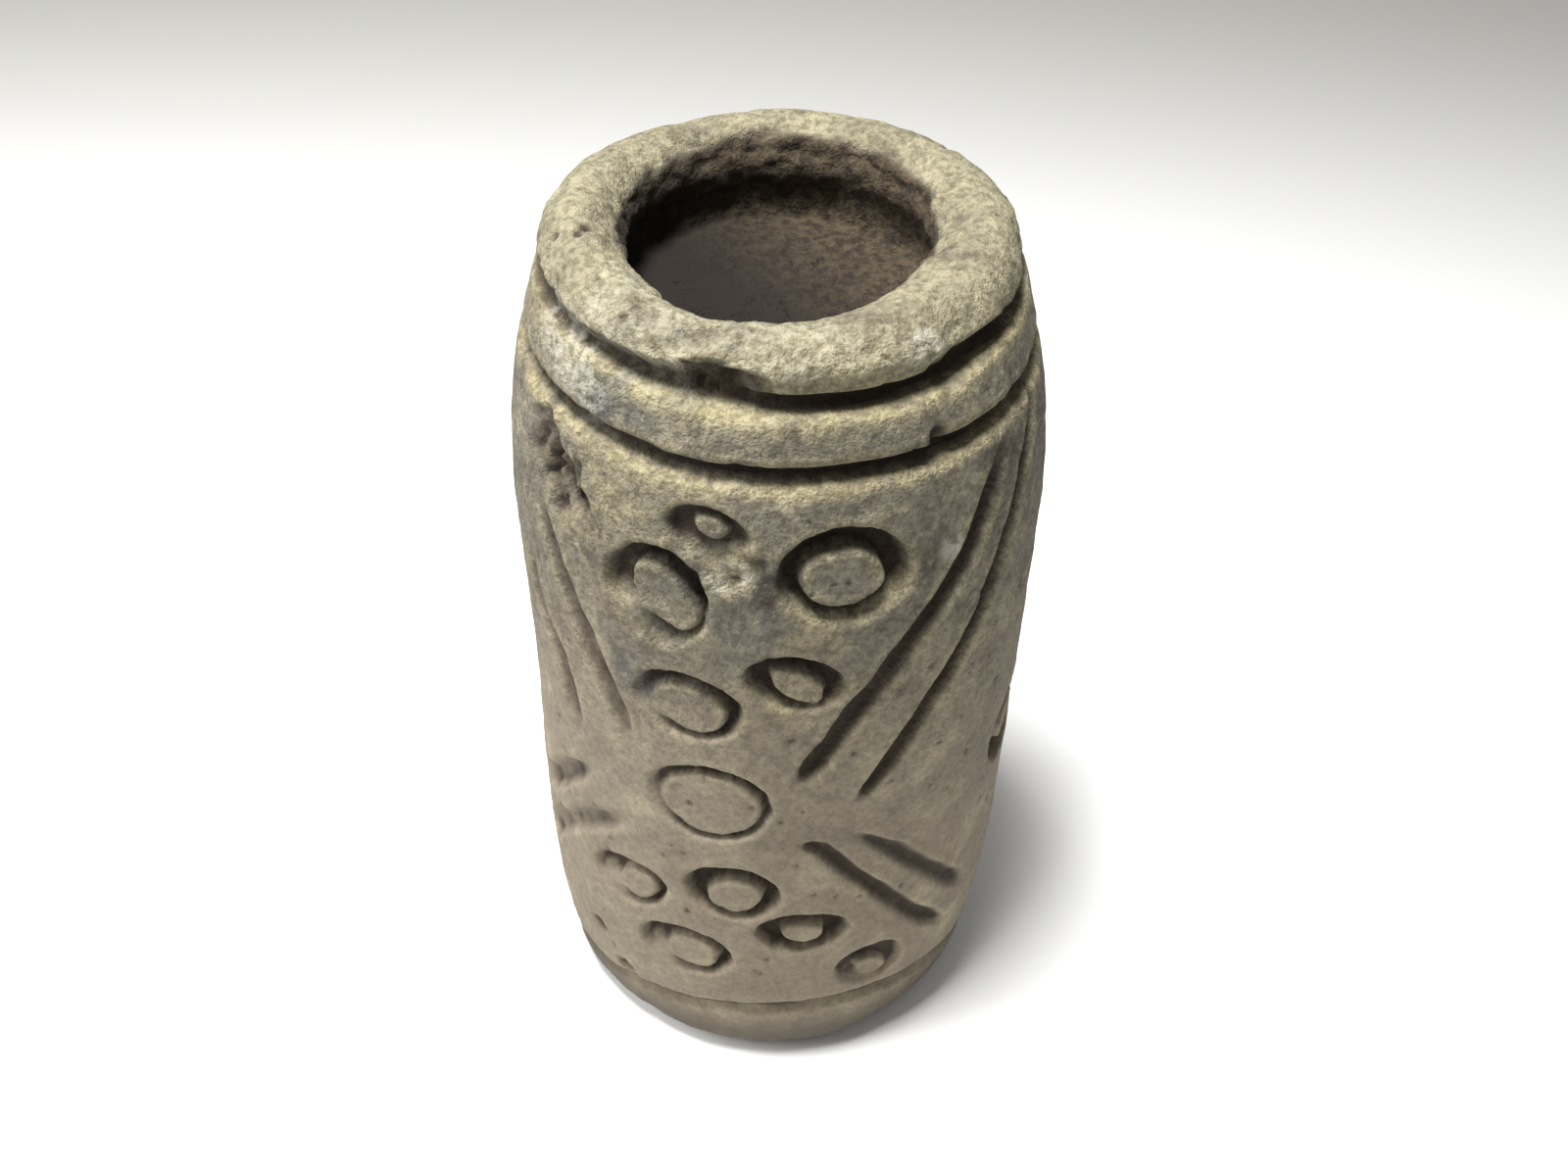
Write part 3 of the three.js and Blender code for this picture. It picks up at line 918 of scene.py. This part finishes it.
    def shape_by_hand(self, skin: Skin, moved: Array) -> Array:
        """Pulls the turned form out of true, as a hand leaves it.

        Args:
            skin: The vertices before they moved.
            moved: Their places so far, in millimetres.

        Returns:
            Their new places.
        """
        azimuth = skin.azimuth
        radius = np.hypot(skin.points[:, 0], skin.points[:, 1]) + 1e-9
        swell = np.zeros(len(azimuth))
        mouth = 1 - smoothstep(8.0, 12.5, radius)
        mouth = mouth * smoothstep(self.barrel.floor - 0.5, self.barrel.floor + 0.5, skin.z)
        for middle, spread, amount in ((180, 40, 0.3), (-119, 17, 0.75), (-90, 30, 0.35), (-38, 22, -0.5), (0, 30, -0.3)):
            swell += amount * np.exp(-((turn_between(azimuth, middle) / spread) ** 2)) * mouth
        inward = smoothstep(2.0, 8.0, radius)
        scale = 1 + swell * inward / radius
        moved = moved.copy()
        moved[:, :2] *= scale[:, None]
        front = np.exp(-((turn_between(azimuth, -94) / 60) ** 2))
        rear = np.exp(-((turn_between(azimuth, 90) / 60) ** 2))
        sag = 0.3 + 1.05 * front + 0.2 * rear
        moved[:, 2] -= sag * smoothstep(self.barrel.lip - 0.9, self.barrel.height, skin.z)
        moved[:, 0] += 0.24 * np.exp(-(((skin.z - 27) / 14) ** 2))
        return moved

    @staticmethod
    def hollowness(mesh: bpy.types.Mesh, points: Array, near: Neighbours) -> Array:
        """How far each vertex lies below the mean of its neighbours, smoothed a little.

        Args:
            mesh: The mesh, for its normals.
            points: Its vertices' places in millimetres.
            near: Who lies next to whom in it.

        Returns:
            Millimetres, positive in hollows.
        """
        normals = np.zeros(len(points) * 3)
        mesh.vertices.foreach_get("normal", normals)
        normals = normals.reshape(-1, 3)
        smooth = points
        for _ in range(3):
            smooth = np.stack([near.mean(smooth[:, axis]) for axis in range(3)], 1)
        hollow = ((smooth - points) * normals).sum(1)
        for _ in range(2):
            hollow = near.mean(hollow)
        return hollow


# ---- Materials ----


def add_node(tree: bpy.types.NodeTree, kind: str, inputs: dict | None = None, **settings: object) -> bpy.types.Node:
    """Adds one node with its settings and links.

    Args:
        tree: The material's node tree.
        kind: The node's type name.
        inputs: A value or a socket for each named or numbered input.
        settings: The node's own properties.

    Returns:
        The node.
    """
    node = tree.nodes.new(kind)
    for name, value in settings.items():
        setattr(node, name, value)
    for key, value in (inputs or {}).items():
        if isinstance(value, bpy.types.NodeSocket):
            tree.links.new(value, node.inputs[key])
        else:
            node.inputs[key].default_value = value
    return node


class Layers:
    """Builds a material's colour up, one layer over another."""

    def __init__(self, tree: bpy.types.NodeTree) -> None:
        """Starts on a tree with object coordinates."""
        self.tree = tree
        self.place = add_node(tree, "ShaderNodeTexCoord").outputs["Object"]

    def noise(self, size_mm: float, detail: float = 2.0, rough: float = 0.5) -> bpy.types.NodeSocket:
        """Noise with lumps of a real size."""
        inputs = {"Vector": self.place, "Scale": 1 / (size_mm * MM), "Detail": detail, "Roughness": rough}
        return add_node(self.tree, "ShaderNodeTexNoise", inputs).outputs["Fac"]

    def cells(self, size_mm: float) -> bpy.types.NodeSocket:
        """Distance to the nearest grain, for grains of a real spacing."""
        inputs = {"Vector": self.place, "Scale": 1 / (size_mm * MM)}
        return add_node(self.tree, "ShaderNodeTexVoronoi", inputs).outputs["Distance"]

    def surface(self, name: str) -> bpy.types.NodeSocket:
        """One of the values stored on the mesh."""
        return add_node(self.tree, "ShaderNodeAttribute", attribute_name=name).outputs["Fac"]

    def ramp(self, value: bpy.types.NodeSocket, low: float, high: float) -> bpy.types.NodeSocket:
        """Stretches a value so that low gives 0 and high gives 1."""
        inputs = {"Value": value, "From Min": low, "From Max": high}
        return add_node(self.tree, "ShaderNodeMapRange", inputs, interpolation_type="SMOOTHSTEP").outputs["Result"]

    def math(self, operation: str, first: object, second: object) -> bpy.types.NodeSocket:
        """Arithmetic on two values."""
        return add_node(self.tree, "ShaderNodeMath", {0: first, 1: second}, operation=operation).outputs[0]

    def over(self, under: object, colour: object, cover: object, blend: str = "MIX") -> bpy.types.NodeSocket:
        """Lays a colour over another where cover says."""
        inputs = {"Factor": cover, "A": under, "B": colour}
        node = self.tree.nodes.new("ShaderNodeMix")
        node.data_type = "RGBA"
        node.blend_type = blend
        sockets = {"Factor": node.inputs[0], "A": node.inputs[6], "B": node.inputs[7]}
        for name, value in inputs.items():
            if isinstance(value, bpy.types.NodeSocket):
                self.tree.links.new(value, sockets[name])
            else:
                sockets[name].default_value = value
        return node.outputs[2]


def clay_material(clay: FiredClay) -> bpy.types.Material:
    """Fired earthenware with its soil, wear and crusts, and its painted shade and painted light.

    Args:
        clay: The finish's colours and grain.

    Returns:
        The material.
    """
    material = bpy.data.materials.new("fired_earthenware")
    material.use_nodes = True
    tree = material.node_tree
    tree.nodes.clear()
    lay = Layers(tree)
    grain = lay.noise(clay.grain_mm, 3.0, 0.6)
    mottle = lay.noise(clay.mottle_mm, 4.0, 0.6)
    cloud = lay.noise(clay.cloud_mm, 2.0)
    height = add_node(tree, "ShaderNodeSeparateXYZ", {0: lay.place}).outputs["Z"]

    shifted = lay.math("ADD", height, lay.math("MULTIPLY", lay.math("SUBTRACT", cloud, 0.5), 22 * MM))
    colour = lay.over(linear(clay.upper), linear(clay.body), lay.ramp(shifted, 47 * MM, 36 * MM))
    colour = lay.over(colour, linear(clay.warm), lay.ramp(shifted, 34 * MM, 16 * MM))
    colour = lay.over(colour, linear(clay.rim), lay.math("MULTIPLY", lay.surface("rim"), 0.9))
    colour = lay.over(colour, linear(clay.pale), lay.math("MULTIPLY", lay.ramp(mottle, 0.5, 0.72), 0.45))
    upper = lay.ramp(height, 20 * MM, 48 * MM)
    heavy = lay.math("ADD", lay.math("MULTIPLY", upper, 0.45), 0.25)
    colour = lay.over(colour, linear(clay.dark), lay.math("MULTIPLY", lay.ramp(mottle, 0.5, 0.28), heavy))
    patchy = lay.math("MULTIPLY", lay.ramp(grain, 0.25, 0.6), lay.ramp(lay.noise(2.2, 4.0, 0.65), 0.3, 0.6))
    strong = lay.math("ADD", lay.math("MULTIPLY", upper, 0.75), 0.2)
    # Ochre rubbing, with painted light where the ochre layer lies on the lit lower lips of cuts and rings.
    ochre = lay.math("MULTIPLY", lay.surface("ochre"), patchy)
    colour = lay.over(colour, linear(clay.ochre), lay.math("MULTIPLY", ochre, strong))
    wear = lay.math("MULTIPLY", lay.surface("wear"), lay.math("MULTIPLY", patchy, strong))
    colour = lay.over(colour, linear(clay.ochre), lay.math("MULTIPLY", wear, 0.55))
    ash = lay.math("MULTIPLY", lay.surface("ash"), lay.ramp(mottle, 0.3, 0.6))
    colour = lay.over(colour, linear(clay.ash), ash)
    speck = lay.ramp(lay.noise(0.45, 3.0, 0.7), 0.36, 0.62)
    shade = lay.over(linear("#bfbdb9"), linear("#ffffff"), speck)
    colour = lay.over(colour, shade, lay.math("ADD", lay.math("MULTIPLY", upper, 0.45), 0.4), "MULTIPLY")
    fleck = lay.math("MULTIPLY", lay.ramp(lay.noise(1.1, 5.0, 0.7), 0.54, 0.66), upper)
    colour = lay.over(colour, linear(clay.fleck), lay.math("MULTIPLY", fleck, 0.25))
    # The stain layer: dirt with painted shade in cuts, pores, chips and hollows.
    stain = lay.math("MULTIPLY", lay.surface("stain"), lay.ramp(mottle, 0.15, 0.45))
    colour = lay.over(colour, linear(clay.stain), lay.math("MULTIPLY", stain, 0.9))
    crust = lay.math("MULTIPLY", lay.surface("lime"), lay.ramp(lay.noise(0.9, 5.0, 0.7), 0.38, 0.62))
    colour = lay.over(colour, linear(clay.lime), lay.math("MULTIPLY", crust, 0.85))
    foot = lay.math("MULTIPLY", lay.ramp(height, 6.5 * MM, 2 * MM), 0.8)
    colour = lay.over(colour, linear(clay.dark), foot)
    grit = lay.ramp(lay.noise(0.6, 4.0, 0.7), 0.36, 0.64)
    # Painted light and shade in the recess: its soil is painted lighter to the right, towards the back and higher up
    # its wall, and darker to the left and front.
    sides = add_node(tree, "ShaderNodeSeparateXYZ", {0: lay.place}).outputs
    across = lay.math("ADD", lay.math("MULTIPLY", sides["X"], 0.8), lay.math("MULTIPLY", sides["Y"], 0.6))
    high = lay.math("MULTIPLY", lay.ramp(height, 53 * MM, 58 * MM), 0.5)
    recess_painted_light = lay.math("ADD", lay.ramp(across, -3 * MM, 9 * MM), high)
    lit = lay.over(linear(clay.soil_in_painted_shade), linear(clay.soil_in_painted_light), recess_painted_light)
    soil_and_painted_shade = lay.over(linear(clay.soil_and_painted_shade), lit, lay.math("ADD", lay.math("MULTIPLY", grit, 0.75), 0.15))
    # The recess takes its soil colour with painted shade over it.
    colour = lay.over(colour, soil_and_painted_shade, lay.surface("soil_and_painted_shade"))

    bump_height = lay.math("ADD", grain, lay.math("MULTIPLY", lay.noise(0.55, 4.0, 0.7), 1.6))
    distance = clay.bump_mm * MM
    deep = lay.math("ADD", lay.math("MULTIPLY", upper, 0.6), 0.25)
    bump = add_node(tree, "ShaderNodeBump", {"Strength": deep, "Distance": distance, "Height": bump_height})
    rough = lay.ramp(mottle, -0.6, 1.2)
    rough = lay.math("ADD", lay.math("MULTIPLY", rough, 0.15), 0.8)
    inputs = {"Base Color": colour, "Roughness": rough, "Normal": bump.outputs[0]}
    shader = add_node(tree, "ShaderNodeBsdfPrincipled", inputs)
    shader.inputs["Specular IOR Level"].default_value = 0.25
    add_node(tree, "ShaderNodeOutputMaterial", {"Surface": shader.outputs[0]})
    return material


def paper_material() -> bpy.types.Material:
    """Matt white card under the seal, painted darker towards the back as painted shade for the light's falloff."""
    material = bpy.data.materials.new("white_card_with_painted_falloff")
    material.use_nodes = True
    shader = material.node_tree.nodes["Principled BSDF"]
    lay = Layers(material.node_tree)
    depth = add_node(material.node_tree, "ShaderNodeSeparateXYZ", {0: lay.place}).outputs["Y"]
    # Painted shade: the card darkens towards the back, standing in for the light falling off.
    colour = lay.over(linear("#f4f4f2"), linear("#bab9b4"), lay.ramp(depth, 15 * MM, 205 * MM))
    material.node_tree.links.new(colour, shader.inputs["Base Color"])
    shader.inputs["Roughness"].default_value = 0.9
    shader.inputs["Specular IOR Level"].default_value = 0.1
    return material


# ---- Studio ----


@dataclass(frozen=True)
class Softbox:
    """One soft square light, aimed at the seal; places and size in millimetres."""

    name: str
    place: tuple[float, float, float]
    size: float
    watts: float
    colour: str = "#ffffff"

    def add(self, target: Vector) -> None:
        """Adds the light.

        Args:
            target: The point it shines at, in metres.
        """
        light = bpy.data.lights.new(self.name, "AREA")
        light.size = self.size * MM
        light.energy = self.watts
        light.color = linear(self.colour)[:3]
        lamp = bpy.data.objects.new(self.name, light)
        lamp.location = Vector(self.place) * MM
        lamp.rotation_mode = "QUATERNION"
        lamp.rotation_quaternion = (target - lamp.location).to_track_quat("-Z", "Y")
        bpy.context.collection.objects.link(lamp)


@dataclass(frozen=True)
class Studio:
    """Pale floor, soft light and the camera."""

    eye: tuple[float, float, float] = (0.0, -76.56, 100.33)
    aim: tuple[float, float, float] = (0.618, 0.882, 30.975)
    roll_degrees: float = 1.597
    lens_mm: float = 36.0
    floor_mm: float = 4000.0
    sky: float = 0.29
    softboxes: tuple[Softbox, ...] = (
        Softbox("overhead", (-31.0, -27.0, 235.0), 60.0, 0.95),
        Softbox("left_panel", (-270.0, -40.0, 210.0), 180.0, 0.8),
    )

    def build(self) -> None:
        """Adds the floor, the lights, the sky and the camera."""
        self.add_floor()
        self.add_camera()
        for softbox in self.softboxes:
            softbox.add(Vector((0, 0, 0.03)))
        world = bpy.data.worlds.new("soft_sky")
        world.use_nodes = True
        world.node_tree.nodes["Background"].inputs["Color"].default_value = (1, 1, 1, 1)
        world.node_tree.nodes["Background"].inputs["Strength"].default_value = self.sky
        bpy.context.scene.world = world
        bpy.context.scene.view_settings.view_transform = "Standard"

    def add_floor(self) -> None:
        """Adds the pale floor that the seal stands on."""
        bpy.ops.object.select_all(action="DESELECT")
        bpy.ops.mesh.primitive_plane_add(size=self.floor_mm * MM)
        floor = bpy.context.object
        floor.name = "floor"
        floor.data.materials.append(paper_material())

    def add_camera(self) -> None:
        """Adds the camera and makes it the scene's."""
        camera = bpy.data.objects.new("camera", bpy.data.cameras.new("camera"))
        camera.data.sensor_width = 36.0
        camera.data.lens = self.lens_mm
        camera.data.clip_start = 0.005
        camera.location = Vector(self.eye) * MM
        level = (Vector(self.aim) - Vector(self.eye)).to_track_quat("-Z", "Y")
        camera.rotation_mode = "QUATERNION"
        camera.rotation_quaternion = level @ Quaternion((0, 0, 1), math.radians(self.roll_degrees))
        bpy.context.collection.objects.link(camera)
        bpy.context.scene.camera = camera


def report(piece: bpy.types.Object) -> None:
    """Logs a piece's name and how many triangles it has."""
    triangles = sum(len(p.vertices) - 2 for p in piece.data.polygons)
    front = sum(1 for vertex in piece.data.vertices if vertex.co.y < 0)
    LOG.info("%s: %d triangles, %d of %d vertices in front", piece.name, triangles, front, len(piece.data.vertices))


def main() -> None:
    """Builds the studio and the seal."""
    logging.basicConfig(level=logging.INFO, format="%(message)s")
    Studio().build()
    seal = Seal().build()
    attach(seal, "root")
    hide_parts(BODY_NODE)
    report(seal)


if __name__ == "__main__":
    main()
